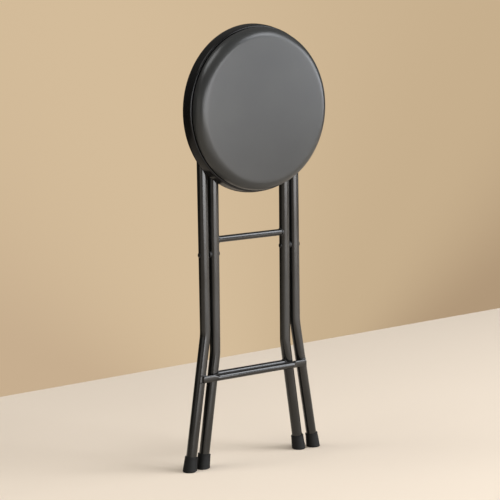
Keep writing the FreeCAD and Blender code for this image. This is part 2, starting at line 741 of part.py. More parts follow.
def catch_clip(side_name, side):
    """Make one moulded saddle that straddles the outer top bar when the stool is open."""
    body = doc.addObject("PartDesign::Body", f"clip_blank_{side_name}")
    groove = "(tube_radius + clip_clearance)"
    jaw = f"({groove} + clip_jaw)"
    flange = f"({jaw} + clip_flange)"
    shape = add_sketch(body, "YZ_Plane", "Saddle")
    outline = [
        (f"-{flange}", BOARD_BACK),
        (flange, BOARD_BACK),
        (flange, CLIP_FACE),
        (jaw, CLIP_FACE),
        (f"{jaw} - clip_mouth / 2", f"{CLIP_UP} - clip_reach"),
        (f"{groove} + clip_mouth", f"{CLIP_UP} - clip_reach"),
        (groove, CLIP_UP),
    ]
    outline += [(f"-({across})", up) for across, up in reversed(outline[2:])]
    add_polygon(shape, outline)
    pad(body, shape, "clip_width")
    saddle = add_sketch(body, "YZ_Plane", "Groove")
    add_circle(saddle, "0", CLIP_UP, groove)
    body.Tip = pocket_through(body, saddle, "clip_width")
    body.Placement = seat_place(side * worth("clip_place"), worth(CLIP_OUT) - hinge_drop, 0)
    keep(cut(f"Clip{side_name}", body, clip_screws), f"catch_clip_{side_name}")


for side_name, side in SIDES:
    hinge_bracket(side_name, side)
    catch_clip(side_name, side)

doc.recompute()
faults = [thing.Label for thing in doc.Objects if {"Invalid", "Error"} & set(thing.State)]
if faults:
    raise RuntimeError(f"these objects did not rebuild: {faults}")
for piece in pieces:
    if piece.Shape.isNull() or not piece.Shape.isValid() or not piece.Shape.Solids:
        raise RuntimeError(f"{piece.Label} has no valid solid")

for piece in pieces:
    piece.Shape.exportStep(f"parts/{piece.Label}.step")
    box = piece.Shape.BoundBox
    print(
        f"{piece.Label}: {len(piece.Shape.Solids)} solid(s), {piece.Shape.Volume:.0f} mm3,"
        f" X {box.XMin:.1f} to {box.XMax:.1f}, Y {box.YMin:.1f} to {box.YMax:.1f},"
        f" Z {box.ZMin:.1f} to {box.ZMax:.1f}"
    )
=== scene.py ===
"""The folding stool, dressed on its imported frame.

The bent tubes, the pan, the padded seat, the rubber feet, the pressed crossbar, the weld beads
and the screws are made here and stand for their plain solids. The sleeves, brackets and clips
are copies of their solids with rounded edges. The other solids keep their shape and get their
finish. Sizes are in millimetres in the classes and in metres in the scene.
"""
import logging
import math
from collections.abc import Iterable, Sequence
from dataclasses import dataclass
from enum import Enum
from typing import ClassVar

import bmesh
import bpy
import numpy
from bpy.types import ID, Material, Mesh, Node, NodeSocket as Socket, NodeTree, Object
from mathutils import Matrix, Quaternion, Vector


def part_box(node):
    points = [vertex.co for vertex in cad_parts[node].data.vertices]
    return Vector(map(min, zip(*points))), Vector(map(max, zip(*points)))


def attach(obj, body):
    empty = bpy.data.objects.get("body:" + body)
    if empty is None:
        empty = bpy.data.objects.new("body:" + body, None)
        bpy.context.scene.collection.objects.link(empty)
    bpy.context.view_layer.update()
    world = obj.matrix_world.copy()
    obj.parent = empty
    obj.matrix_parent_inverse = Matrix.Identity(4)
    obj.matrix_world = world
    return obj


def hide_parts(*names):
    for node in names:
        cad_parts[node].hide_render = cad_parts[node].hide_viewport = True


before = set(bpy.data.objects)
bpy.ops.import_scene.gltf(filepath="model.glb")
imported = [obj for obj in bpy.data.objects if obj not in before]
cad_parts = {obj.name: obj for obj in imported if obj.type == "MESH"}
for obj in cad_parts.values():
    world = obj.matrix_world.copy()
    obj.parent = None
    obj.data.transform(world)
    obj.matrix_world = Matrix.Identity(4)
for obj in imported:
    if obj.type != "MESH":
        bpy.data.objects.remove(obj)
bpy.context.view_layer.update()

logging.basicConfig(level=logging.INFO, format="%(message)s")
log = logging.getLogger("stool")

MM = 0.001
TUBE_RADIUS = 9.5
ROD_RADIUS = 6.0
MERGE_DISTANCE = 2e-6
Point = tuple[float, float, float]
Profile = list[tuple[float, float]]


class Body(Enum):
    """The three rigid bodies that pieces ride on."""

    INNER = "inner_frame"
    OUTER = "outer_frame"
    SEAT = "seat"


class Relief(Enum):
    """The fine relief that a surface takes from how it was made."""

    ORANGE_PEEL = "powder coat that has flowed out into low, soft waves"
    PEBBLE = "embossed vinyl with small rounded pebbles"
    SPARK = "a mould that was spark eroded, which leaves an even grit"
    DRAWN = "plating over wire that was drawn, with fine lines"


def linear(hex_colour: str) -> tuple[float, float, float, float]:
    """Turn an sRGB hex colour into linear RGBA.

    Args:
        hex_colour: the colour, such as "#2b2a28".

    Returns:
        The colour as the four numbers that a shader socket takes.
    """
    channels = [int(hex_colour[start : start + 2], 16) / 255 for start in (1, 3, 5)]
    red, green, blue = (
        value / 12.92 if value <= 0.04045 else ((value + 0.055) / 1.055) ** 2.4
        for value in channels
    )
    return red, green, blue, 1.0


def eased(value: float) -> float:
    """Hold a value within 0 and 1 and ease it in and out."""
    share = min(1.0, max(0.0, value))
    return share * share * (3 - 2 * share)


class Nodes:
    """A node tree that is filled call by call."""

    def __init__(self, tree: NodeTree) -> None:
        """Take the tree that gets the nodes."""
        self.tree = tree

    def add(self, kind: str, inputs: dict | None = None, **settings: object) -> Node:
        """Add a node, set it up and fill its inputs.

        Args:
            kind: the node's type name.
            inputs: a socket to link or a plain value, by the input's name or number.
            **settings: the node's own properties.

        Returns:
            The new node.
        """
        node = self.tree.nodes.new(kind)
        for name, value in settings.items():
            setattr(node, name, value)
        for socket, value in (inputs or {}).items():
            if isinstance(value, Socket):
                self.tree.links.new(value, node.inputs[socket])
            else:
                node.inputs[socket].default_value = value
        return node

    def out(
        self, kind: str, inputs: dict | None = None, socket: str | int = 0, **settings: object
    ) -> Socket:
        """Add a node as add() does and give one of its outputs, by name or number."""
        return self.add(kind, inputs, **settings).outputs[socket]

    def calc(self, operation: str, *terms: Socket | float) -> Socket:
        """Add one step of arithmetic on sockets and numbers and give its result."""
        return self.out("ShaderNodeMath", dict(enumerate(terms)), operation=operation)

    def noise(self, place: Socket, size: float, detail: float, roughness: float = 0.5) -> Socket:
        """Add soft noise with spots of a size in millimetres and give its value, 0 to 1."""
        values = {"Scale": 1 / (size * MM), "Detail": detail, "Roughness": roughness}
        return self.out("ShaderNodeTexNoise", {"Vector": place, **values}, "Fac")

    def ranged(
        self, value: Socket, *ends: float, start: tuple[float, float] = (0.0, 1.0)
    ) -> Socket:
        """Map a value from its start range to one between two ends, and hold it there."""
        low, high = ends or (0.0, 1.0)
        limits = {"From Min": start[0], "From Max": start[1], "To Min": low, "To Max": high}
        return self.out("ShaderNodeMapRange", {"Value": value, **limits})

    def mixed(self, share: Socket, low: Socket | Sequence, high: Socket | Sequence) -> Socket:
        """Mix two colours by a share and give the result."""
        return self.out("ShaderNodeMix", {0: share, 6: low, 7: high}, 2, data_type="RGBA")

    def bump(self, height: Socket, depth: float, strength: float = 1.0) -> Socket:
        """Turn a height into a normal, with its depth in millimetres."""
        relief = {"Height": height, "Strength": strength, "Distance": depth * MM}
        return self.out("ShaderNodeBump", relief, "Normal")


@dataclass(frozen=True)
class Surface:
    """What a thing is made of, seen as one material."""

    name: str
    colour: str

    def shader(self, nodes: Nodes) -> Socket:
        """Add the surface's own nodes and give its shader."""
        raise NotImplementedError

    def material(self) -> Material:
        """Give the surface as a material, made the first time that it is asked for."""
        known = bpy.data.materials.get(self.name)
        if known:
            return known
        made = bpy.data.materials.new(self.name)
        made.use_nodes = True
        made.node_tree.nodes.clear()
        nodes = Nodes(made.node_tree)
        nodes.add("ShaderNodeOutputMaterial", {"Surface": self.shader(nodes)})
        made.diffuse_color = linear(self.colour)
        return made


@dataclass(frozen=True)
class Finish(Surface):
    """One finish: its two near colours, how evenly it shines and its fine relief."""

    worn_colour: str
    roughness: float
    relief: Relief
    relief_size: float
    relief_depth: float
    roughness_swing: float = 0.04
    mottle_size: float = 60.0
    metallic: float = 0.0
    specular: float = 0.5

    def height(self, nodes: Nodes, place: Socket) -> Socket:
        """Add the nodes that give the relief's height at a place, from 0 to about 1."""
        if self.relief is Relief.PEBBLE:
            scale = {"Scale": 1 / (self.relief_size * MM), "Randomness": 0.9}
            cells = nodes.out(
                "ShaderNodeTexVoronoi", {"Vector": place, **scale}, "Distance", feature="SMOOTH_F1"
            )
            return nodes.ranged(cells, 1.0, 0.0, start=(0.0, 0.7))
        stretch = (1.0, 1.0, 9.0) if self.relief is Relief.DRAWN else (1.0, 1.0, 1.0)
        detail = 1.0 if self.relief is Relief.ORANGE_PEEL else 4.0
        drawn = nodes.out("ShaderNodeMapping", {"Vector": place, "Scale": stretch})
        return nodes.noise(drawn, self.relief_size, detail, 0.55)

    def shader(self, nodes: Nodes) -> Socket:
        """Add the mottled colour, the uneven shine and the relief, and give the shader."""
        place = nodes.out("ShaderNodeTexCoord", socket="Object")
        spread = nodes.ranged(nodes.noise(place, self.mottle_size, 3.0), start=(0.3, 0.7))
        smooth, dull = self.roughness - self.roughness_swing, self.roughness + self.roughness_swing
        return nodes.out(
            "ShaderNodeBsdfPrincipled",
            {
                "Base Color": nodes.mixed(spread, linear(self.colour), linear(self.worn_colour)),
                "Roughness": nodes.ranged(spread, smooth, dull),
                "Normal": nodes.bump(self.height(nodes, place), self.relief_depth),
                "Metallic": self.metallic,
                "Specular IOR Level": self.specular,
            },
        )


@dataclass(frozen=True)
class Plywood(Surface):
    """Raw birch plywood, rotary cut: wide cathedral grain on the face, thin layers at the edge."""

    name: str = "birch_plywood_rotary_cut"
    colour: str = "#c9ac82"
    late: str = "#a98659"
    glue: str = "#6e5236"
    veneer: float = 1.5
    glue_share: float = 0.12
    wander: float = 45.0
    grain_width: float = 7.0
    fibre_width: float = 0.9
    fibre_depth: float = 0.12

    def shader(self, nodes: Nodes) -> Socket:
        """Add the grain, the fibres and the glue lines, and give the shader."""
        place = nodes.out("ShaderNodeTexCoord", socket="Object")
        # The trunk's axis runs along X, so the pattern is drawn out nine times that way.
        along = nodes.out("ShaderNodeMapping", {"Vector": place, "Scale": (0.11, 1.0, 1.0)})
        wander = nodes.noise(along, self.wander, 2.0)
        saw = nodes.calc("FRACT", nodes.calc("MULTIPLY", wander, self.wander / self.grain_width))
        # Each ring darkens slowly through the summer and ends in a short, soft winter line.
        wave = nodes.add("ShaderNodeFloatCurve", {"Value": saw})
        for spot in ((0.55, 0.30), (0.88, 1.0)):
            wave.mapping.curves[0].points.new(*spot)
        wave.mapping.curves[0].points[-1].location = (1.0, 0.0)
        wave.mapping.update()
        fibre = nodes.noise(along, self.fibre_width, 3.0, 0.7)
        tone = nodes.calc("MULTIPLY", wave.outputs[0], fibre)
        face = nodes.mixed(tone, linear(self.colour), linear(self.late))
        # The dark glue lines between the layers show only where the surface faces sideways.
        deep = nodes.out("ShaderNodeSeparateXYZ", {"Vector": place}, "Y")
        layer = nodes.calc("FRACT", nodes.calc("MULTIPLY", deep, 1 / (self.veneer * MM)))
        normal = nodes.out("ShaderNodeTexCoord", socket="Normal")
        turned = nodes.out("ShaderNodeSeparateXYZ", {"Vector": normal}, "Y")
        edge = nodes.calc("LESS_THAN", nodes.calc("ABSOLUTE", turned), 0.5)
        shown = nodes.calc("MULTIPLY", nodes.calc("LESS_THAN", layer, self.glue_share), edge)
        return nodes.out(
            "ShaderNodeBsdfPrincipled",
            {
                "Base Color": nodes.mixed(shown, face, linear(self.glue)),
                "Roughness": nodes.ranged(tone, 0.62, 0.78),
                "Normal": nodes.bump(fibre, self.fibre_depth, 0.6),
            },
        )


@dataclass(frozen=True)
class FloorPaint(Surface):
    """The floor's pale, matt paint."""

    def shader(self, nodes: Nodes) -> Socket:
        """Give an even, matt shader."""
        paint = {"Base Color": linear(self.colour), "Roughness": 0.85, "Specular IOR Level": 0.15}
        return nodes.out("ShaderNodeBsdfPrincipled", paint)


@dataclass(frozen=True)
class FarGround(Surface):
    """The warm ground: plain matt paint to the lamps, and to the camera a glow with painted light
    and shade across the view.
    """

    # Painted light and shade: the glow's colour stops, lighter in one band of the view and darker
    # to either side.
    painted_light_stops: tuple[tuple[float, str], ...] = (
        (0.590, "#b09779"), (0.622, "#c7af8d"), (0.662, "#d4bc9a"), (0.730, "#c7ae8f"),
    )

    def shader(self, nodes: Nodes) -> Socket:
        """Give matt paint to the lamps and, to the camera, a glow whose painted light and shade
        change across the view.
        """
        place = nodes.out("ShaderNodeTexCoord", socket="Object")
        turn = nodes.out(
            "ShaderNodeTexGradient", {"Vector": place}, "Fac", gradient_type="RADIAL"
        )
        shade = nodes.add("ShaderNodeValToRGB", {"Fac": turn})
        ramp = shade.color_ramp
        ramp.interpolation = "EASE"
        for number, (spot, colour) in enumerate(self.painted_light_stops):
            stop = ramp.elements[number] if number < 2 else ramp.elements.new(spot)
            stop.position = spot
            stop.color = linear(colour)
        # Painted light: the camera sees the ground glow in the ramp's colours instead of lamp
        # light.
        glow = nodes.out("ShaderNodeEmission", {"Color": shade.outputs["Color"]})
        paint = nodes.out("ShaderNodeBsdfDiffuse", {"Color": linear(self.colour)})
        seen = nodes.out("ShaderNodeLightPath", socket="Is Camera Ray")
        return nodes.out("ShaderNodeMixShader", {0: seen, 1: paint, 2: glow})


# Polyester powder coat on steel tube: black and satin, its flow waves drawn a little coarse so
# that they break up the long highlights at the photograph's scale.
TUBE_COAT = Finish(
    "powder_coated_steel_tube", "#0f0f0e", "#141413", 0.17, Relief.ORANGE_PEEL, 3.0, 0.020,
    roughness_swing=0.03, mottle_size=45.0,
)
# The same coat on pressed sheet: a little duller, with lower waves, so that the skirt stays dark.
PAN_COAT = Finish(
    "powder_coated_pressed_steel", "#0c0c0c", "#101010", 0.20, Relief.ORANGE_PEEL, 3.4, 0.012,
    roughness_swing=0.03, mottle_size=70.0, specular=0.18,
)
# Calendered PVC cover, embossed with a fine pebble. The pebble is drawn 1.6 mm wide, about twice
# as coarse as it is, so that it shows at all.
VINYL = Finish(
    "embossed_black_vinyl", "#222323", "#262726", 0.31, Relief.PEBBLE, 1.6, 0.020,
    roughness_swing=0.015, mottle_size=55.0, specular=0.36,
)
# Moulded rubber: matt, with the even grit of its mould.
RUBBER = Finish(
    "moulded_black_rubber", "#050606", "#090a0a", 0.62, Relief.SPARK, 1.1, 0.05,
    roughness_swing=0.06, mottle_size=14.0, specular=0.22,
)
# Blackened steel rivets: oxide black with a dull metal shine.
BLACKENED = Finish(
    "blackened_steel", "#2c2c2b", "#232322", 0.36, Relief.SPARK, 0.9, 0.02,
    metallic=0.85, mottle_size=6.0,
)
# Injection moulded nylon: black, matt, slightly waxy.
NYLON = Finish(
    "moulded_black_nylon", "#080808", "#0c0c0c", 0.55, Relief.SPARK, 0.8, 0.03,
    roughness_swing=0.05, mottle_size=18.0, specular=0.25,
)
# Zinc plated wire screws: pale metal with fine drawn lines.
ZINC = Finish(
    "zinc_plated_steel", "#c4c6c4", "#a9aaa4", 0.33, Relief.DRAWN, 0.5, 0.01,
    metallic=1.0, mottle_size=5.0,
)

CAD_FINISHES: dict[str, Surface] = {
    "brace_rod": TUBE_COAT,
    "inner_crossbar": TUBE_COAT,
    "pivot_rivet_left": BLACKENED,
    "pivot_rivet_right": BLACKENED,
    "pivot_spacer_left": NYLON,
    "pivot_spacer_right": NYLON,
    "seat_board": Plywood(),
}

# The small hinge parts, one on each side: node, piece, rounding of the edges, finish and slot.
SIDE_PARTS = (
    ("hinge_sleeve", "rolled_sleeve", 0.2, PAN_COAT, "bracket_paint"),
    ("hinge_bracket", "pressed_bracket", 0.35, PAN_COAT, "bracket_paint"),
    ("catch_clip", "moulded_clip", 0.5, NYLON, "clip_plastic"),
)


def linked(name: str, data: ID) -> Object:
    """Make an object of some data and link it to the scene."""
    thing = bpy.data.objects.new(name, data)
    bpy.context.scene.collection.objects.link(thing)
    return thing


def smoothed(mesh: Mesh, sharp: float) -> Mesh:
    """Shade a mesh smooth but for the edges that are sharper than an angle in degrees."""
    mesh.shade_smooth()
    mesh.set_sharp_from_angle(angle=math.radians(sharp))
    return mesh


def new_piece(
    name: str, points: Iterable[Sequence[float]], faces: Iterable[Sequence[int]], sharp: float
) -> Object:
    """Make a closed mesh with outward faces, smooth but for its sharp edges.

    Args:
        name: the object's name.
        points: the corners, in metres in the frame's space.
        faces: the faces, as numbers of corners.
        sharp: the angle in degrees from which an edge shows as an edge.

    Returns:
        The object, linked to the scene.
    """
    mesh = bpy.data.meshes.new(name)
    mesh.from_pydata([tuple(point) for point in points], [], [tuple(face) for face in faces])
    shell = bmesh.new()
    shell.from_mesh(mesh)
    bmesh.ops.remove_doubles(shell, verts=shell.verts, dist=1e-6)
    bmesh.ops.recalc_face_normals(shell, faces=shell.faces)
    shell.to_mesh(mesh)
    shell.free()
    return linked(name, smoothed(mesh, sharp))


def finished(
    piece: Object, finish: Surface, body: Body, slot: str, *nodes: str
) -> None:
    """Give a piece its finish and its body, and hide the solids that it stands for. The slot is not
    used.
    """
    piece.data.materials.clear()
    piece.data.materials.append(finish.material())
    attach(piece, body.value)
    if nodes:
        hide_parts(*nodes)
    log.info("%s: %d faces on %s", piece.name, len(piece.data.polygons), body.value)


def baked(piece: Object) -> Object:
    """Turn a piece's modifiers into plain mesh.

    Args:
        piece: an object at the origin with live modifiers.

    Returns:
        The same object with a plain mesh and no modifier.
    """
    graph = bpy.context.evaluated_depsgraph_get()
    plain = bpy.data.meshes.new_from_object(piece.evaluated_get(graph), depsgraph=graph)
    piece.modifiers.clear()
    piece.data = plain
    return piece


def lathe_rows(profile: Profile, sides: int) -> tuple[list[Point], list[list[int]]]:
    """Turn the points of a profile round the Z axis.

    Args:
        profile: radius and height of each point.
        sides: how many points go round.

    Returns:
        The corners, and the numbers of each row's corners. A point on the axis is a row of one.
    """
    points: list[Point] = []
    rows: list[list[int]] = []
    for radius, height in profile:
        count = sides if radius > 1e-9 else 1
        rows.append(list(range(len(points), len(points) + count)))
        for step in range(count):
            angle = math.tau * step / sides
            points.append((radius * math.cos(angle), radius * math.sin(angle), height))
    return points, rows


def skin(rows: Sequence[Sequence[int]], sides: int, ring: bool = False) -> list[list[int]]:
    """Join rows of corners with faces.

    Args:
        rows: each row's corner numbers, either one per side or a single pole.
        sides: how many corners go round.
        ring: whether the last row joins the first.

    Returns:
        The faces as lists of corner numbers.
    """
    faces = []
    following = [*rows[1:], rows[0]] if ring else rows[1:]
    for low, high in zip(rows, following):
        for step in range(sides):
            after = (step + 1) % sides
            corners = [
                low[step % len(low)], low[after % len(low)],
                high[after % len(high)], high[step % len(high)],
            ]
            unique = list(dict.fromkeys(corners))
            if len(unique) > 2:
                faces.append(unique)
    return faces


def arc(
    centre: tuple[float, float], radius: float, start: float, end: float, steps: int
) -> Profile:
    """Give points on an arc.

    Args:
        centre: the arc's centre.
        radius: its radius.
        start: the angle of its first point, in degrees.
        end: the angle of its last point, in degrees.
        steps: how many runs it is cut into.

    Returns:
        The points, both ends among them.
    """
    angles = [math.radians(start + (end - start) * step / steps) for step in range(steps + 1)]
    return [(centre[0] + radius * math.cos(a), centre[1] + radius * math.sin(a)) for a in angles]


def solid_shell(node: str) -> bmesh.types.BMesh:
    """Copy a plain solid's mesh with its corners merged, to be freed after use."""
    shell = bmesh.new()
    shell.from_mesh(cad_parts[node].data)
    bmesh.ops.remove_doubles(shell, verts=shell.verts, dist=MERGE_DISTANCE)
    return shell


def softened(node: str, name: str, bevel: float, sharp: float = 30.0) -> Object:
    """Copy a plain solid and round its edges as pressing or moulding leaves them.

    Args:
        node: the solid's node.
        name: the new piece's name.
        bevel: the rounding's width, in millimetres.
        sharp: the angle in degrees from which an edge is rounded.

    Returns:
        The new piece.
    """
    shell = solid_shell(node)
    bmesh.ops.dissolve_limit(
        shell, angle_limit=math.radians(0.6), verts=shell.verts, edges=shell.edges
    )
    edges = [
        edge for edge in shell.edges
        if len(edge.link_faces) == 2 and edge.calc_face_angle() > math.radians(sharp)
    ]
    bmesh.ops.bevel(
        shell, geom=edges, offset=bevel * MM, segments=2, profile=0.5, affect="EDGES",
        clamp_overlap=True,
    )
    mesh = bpy.data.meshes.new(name)
    shell.to_mesh(mesh)
    shell.free()
    return linked(name, smoothed(mesh, sharp))


@dataclass(frozen=True)
class Placing:
    """Where the two frames and the seat stand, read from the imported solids."""

    lean: float = 0.6
    pivot_height: float = 388.0

    def standing(self, up: float = 0.0) -> Matrix:
        """Place the inner frame: upright at the depth of both frames, or a point above it."""
        low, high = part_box("brace_rod")
        return Matrix.Translation((0, (low.y + high.y) / 2, up))

    def leaning(self) -> Matrix:
        """Place the outer frame: turned a little about the pivots, so its feet come forward."""
        pivot = self.pivot_height * MM
        turn = Matrix.Rotation(-math.radians(self.lean), 4, "X")
        return self.standing(pivot) @ turn @ Matrix.Translation((0, 0, -pivot))

    def seat(self) -> Matrix:
        """Place the seat: its own Z points out of its face, its own Y up its face."""
        low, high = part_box("seat_board")
        return self.standing((low.z + high.z) / 2) @ Matrix.Rotation(math.pi / 2, 4, "X")


class GrowTree:
    """A geometry node tree whose result is made real and gets its material."""

    name: str
    takes: dict[str, str]
    gives: str

    def grow(self, nodes: Nodes, given: dict[str, Socket]) -> Socket:
        """Add the nodes that make the geometry.

        Args:
            nodes: the tree's nodes.
            given: the sockets of the tree's inputs.

        Returns:
            The socket that carries the geometry.
        """
        raise NotImplementedError

    def build(self) -> NodeTree:
        """Build the tree with its inputs, its geometry and its one output."""
        tree = bpy.data.node_groups.new(self.name, "GeometryNodeTree")
        for label, kind in self.takes.items():
            tree.interface.new_socket(label, in_out="INPUT", socket_type=f"NodeSocket{kind}")
        tree.interface.new_socket(self.gives, in_out="OUTPUT", socket_type="NodeSocketGeometry")
        nodes = Nodes(tree)
        given = nodes.add("NodeGroupInput").outputs
        real = nodes.out("GeometryNodeRealizeInstances", {"Geometry": self.grow(nodes, given)})
        painted = nodes.out(
            "GeometryNodeSetMaterial", {"Geometry": real, "Material": given["Finish"]}
        )
        nodes.add("NodeGroupOutput", {self.gives: painted})
        return tree


class TubeTree(GrowTree):
    """Sweeps a closed round tube along a path."""

    name = "bent_tube"
    takes = {"Path": "Geometry", "Radius": "Float", "Sides": "Int", "Finish": "Material"}
    gives = "Tube"

    def grow(self, nodes: Nodes, given: dict[str, Socket]) -> Socket:
        """Sweep a circle along the path and close its ends."""
        line = nodes.out("GeometryNodeMeshToCurve", {"Mesh": given["Path"]})
        ring = {"Resolution": given["Sides"], "Radius": given["Radius"]}
        circle = nodes.out("GeometryNodeCurvePrimitiveCircle", ring)
        return nodes.out(
            "GeometryNodeCurveToMesh",
            {"Curve": line, "Profile Curve": circle, "Fill Caps": True},
        )


class BeadTree(GrowTree):
    """Lays a rippled weld bead along a path, as overlapping puddles leave it."""

    name = "weld_bead"
    takes = {
        "Path": "Geometry", "Radius": "Float", "Ripple": "Float", "Seed": "Int",
        "Finish": "Material",
    }
    gives = "Bead"

    def grow(self, nodes: Nodes, given: dict[str, Socket]) -> Socket:
        """Sweep a circle whose size waves along the path, a little unevenly."""
        line = nodes.out("GeometryNodeMeshToCurve", {"Mesh": given["Path"]})
        step = nodes.calc("MULTIPLY", given["Ripple"], 0.25)
        fine = nodes.out(
            "GeometryNodeResampleCurve", {"Curve": line, "Length": step}, mode="LENGTH"
        )
        run = nodes.out("GeometryNodeSplineParameter", socket="Length")
        turns = nodes.calc("DIVIDE", run, given["Ripple"])
        wave = nodes.calc("SINE", nodes.calc("MULTIPLY", turns, math.tau))
        uneven = nodes.out(
            "FunctionNodeRandomValue", {"Seed": given["Seed"], 2: 0.88, 3: 1.1}, 1,
            data_type="FLOAT",
        )
        swell = nodes.calc("MULTIPLY_ADD", wave, 0.13, uneven)
        ring = {"Radius": given["Radius"], "Resolution": 10}
        circle = nodes.out("GeometryNodeCurvePrimitiveCircle", ring)
        return nodes.out(
            "GeometryNodeCurveToMesh",
            {"Curve": fine, "Profile Curve": circle, "Scale": swell, "Fill Caps": True},
        )


class HeadTree(GrowTree):
    """Sets a copy of one screw at each point, each turned its own way."""

    name = "screw_set"
    takes = {"Places": "Geometry", "Screw": "Object", "Seed": "Int", "Finish": "Material"}
    gives = "Screws"

    def grow(self, nodes: Nodes, given: dict[str, Socket]) -> Socket:
        """Set the screw at each point, turned about its own axis."""
        screw = nodes.out("GeometryNodeObjectInfo", {"Object": given["Screw"]}, "Geometry")
        turn = nodes.out(
            "FunctionNodeRandomValue",
            {"Seed": given["Seed"], 0: (0.0, 0.0, 0.0), 1: (0.0, math.tau, 0.0)},
            data_type="FLOAT_VECTOR",
        )
        angle = nodes.out("FunctionNodeEulerToRotation", {"Euler": turn})
        copies = {"Points": given["Places"], "Instance": screw, "Rotation": angle}
        return nodes.out("GeometryNodeInstanceOnPoints", copies)


def grown(
    name: str,
    points: Sequence[Sequence[float]],
    edges: Sequence[tuple[int, int]],
    tree: NodeTree,
    sharp: float = 35.0,
    **inputs: object,
) -> Object:
    """Run a node tree on points and edges and keep the result as a plain mesh.

    Args:
        name: the new object's name.
        points: the corners of the path or the places, in metres.
        edges: the runs of the path, empty for places.
        tree: the node tree.
        sharp: the angle in degrees from which an edge shows as an edge.
        **inputs: the tree's inputs by name.

    Returns:
        The object, its modifier gone.
    """
    mesh = bpy.data.meshes.new(name)
    mesh.from_pydata([tuple(point) for point in points], list(edges), [])
    piece = linked(name, mesh)
    modifier = piece.modifiers.new(tree.name, "NODES")
    modifier.node_group = tree
    for socket in tree.interface.items_tree:
        if socket.in_out == "INPUT" and socket.name in inputs:
            modifier[socket.identifier] = inputs[socket.name]
    smoothed(baked(piece).data, sharp)
    return piece


def chain(count: int, start: int = 0, closed: bool = False) -> list[tuple[int, int]]:
    """List the edges that join a run of points, back to the first if it is closed."""
    edges = [(start + step, start + step + 1) for step in range(count - 1)]
    return edges + [(start + count - 1, start)] if closed else edges


@dataclass
class BentFrame:
    """One hoop of steel tube: a top bar, two bent corners, two legs, two knees and two shins."""

    name: str
    node: str
    body: Body
    place: Matrix
    half_width: float
    bar_height: float
    knee_height: float
    flare: float
    radius: float = TUBE_RADIUS
    corner_radius: float = 36.0
    knee_radius: float = 110.0
    end_height: float = 5.0
    sides: int = 48

    def half_path(self) -> Profile:
        """Give the right half of the tube's axis, from the floor end to the middle of the bar."""
        splay = math.radians(self.flare)
        leg_end = self.knee_height + self.knee_radius * math.tan(splay / 2)
        shin_x = self.half_width + self.knee_radius * (1 - math.cos(splay))
        shin_z = leg_end - self.knee_radius * math.sin(splay)
        drop = shin_z - self.end_height
        path = [(shin_x + drop * math.tan(splay), self.end_height)]
        centre = (self.half_width + self.knee_radius, leg_end)
        path += arc(centre, self.knee_radius, 180 + self.flare, 180, 10)
        shoulder = (self.half_width - self.corner_radius, self.bar_height - self.corner_radius)
        path += arc(shoulder, self.corner_radius, 0, 90, 24)
        return path

    def axis_at(self, height: float) -> float:
        """Give how far from the middle the shin's axis is at a height."""
        return self.half_width + (self.knee_height - height) * math.tan(math.radians(self.flare))

    def placed(self, across: float, deep: float, up: float) -> Vector:
        """Give the place in the scene of a point in the hoop's own millimetres."""
        return self.place @ (Vector((across, deep, up)) * MM)

    def build(self, tree: NodeTree) -> None:
        """Sweep the tube and dress it."""
        right = self.half_path()
        left = [(-across, up) for across, up in reversed(right)]
        points = [self.placed(across, 0, up) for across, up in [*right, *left]]
        tube = grown(
            self.name, points, chain(len(points)), tree,
            Radius=self.radius * MM, Sides=self.sides, Finish=TUBE_COAT.material(),
        )
        finished(tube, TUBE_COAT, self.body, "frame_paint", self.node)


@dataclass
class RubberFoot:
    """A rubber cap pushed over a leg's end: square to the leg at its rim, level at its sole."""

    length: float = 27.0
    rim: float = 11.3
    rim_rounding: float = 0.8
    rim_bead: float = 0.35
    rim_bead_height: float = 2.6
    sole: float = 12.9
    sole_rounding: float = 2.0
    groove_depth: float = 0.6
    level_share: float = 0.55
    sides: int = 56

    def profile(self) -> Profile:
        """Give the cap's outline, from inside its rim round to the middle of its sole."""
        body_top = self.length - self.rim_bead_height
        slope = (self.sole - self.rim) / self.length
        side = [
            (self.rim + slope * (self.length - height), height)
            for height in (body_top - 0.6, 18.0, 12.0, 7.0, self.sole_rounding + 1.2)
        ]
        edge_x = self.rim + slope * (self.length - self.sole_rounding) - self.sole_rounding
        bead = self.rim + self.rim_bead
        rim_centre = (bead - self.rim_rounding, self.length - self.rim_rounding)
        return [
            (TUBE_RADIUS - 0.5, self.length - 3.0),
            (TUBE_RADIUS + 0.05, self.length - 0.6),
            (TUBE_RADIUS + 0.35, self.length - 0.1),
            *arc(rim_centre, self.rim_rounding, 90, 0, 4),
            (bead, body_top + 0.5),
            (bead - 0.15, body_top + 0.1),
            *side,
            *arc((edge_x, self.sole_rounding), self.sole_rounding, 0, -90, 6),
            (edge_x - 2.2, 0.0),
            (edge_x - 2.7, self.groove_depth),
            (edge_x - 4.0, self.groove_depth),
            (edge_x - 4.5, 0.0),
            (0.0, 0.0),
        ]

    def build(self, name: str, hoop: BentFrame, side: int) -> None:
        """Make one foot on one leg.

        Args:
            name: the foot's node and, with a suffix, its piece.
            hoop: the frame whose leg it is on.
            side: -1 for left and 1 for right.
        """
        splay = math.radians(hoop.flare) * side
        sole_centre = Vector((side * hoop.axis_at(0.0), 0.0, 0.0))
        up = Vector((-math.sin(splay), 0.0, math.cos(splay)))
        points, rows = lathe_rows(self.profile(), self.sides)
        placed = []
        for across, deep, height in points:
            # The rings turn from level at the sole to square with the leg at the rim.
            tilt = splay * eased(height / (self.level_share * self.length))
            out = Vector((math.cos(tilt), 0.0, math.sin(tilt)))
            spot = sole_centre + up * height + out * across + Vector((0.0, deep, 0.0))
            placed.append(hoop.placed(*spot))
        lowest = min(point.z for point in placed)
        placed = [point - Vector((0, 0, lowest)) for point in placed]
        piece = new_piece(f"{name}_cap", placed, skin(rows, self.sides), 50.0)
        finished(piece, RUBBER, hoop.body, "foot_rubber", name)


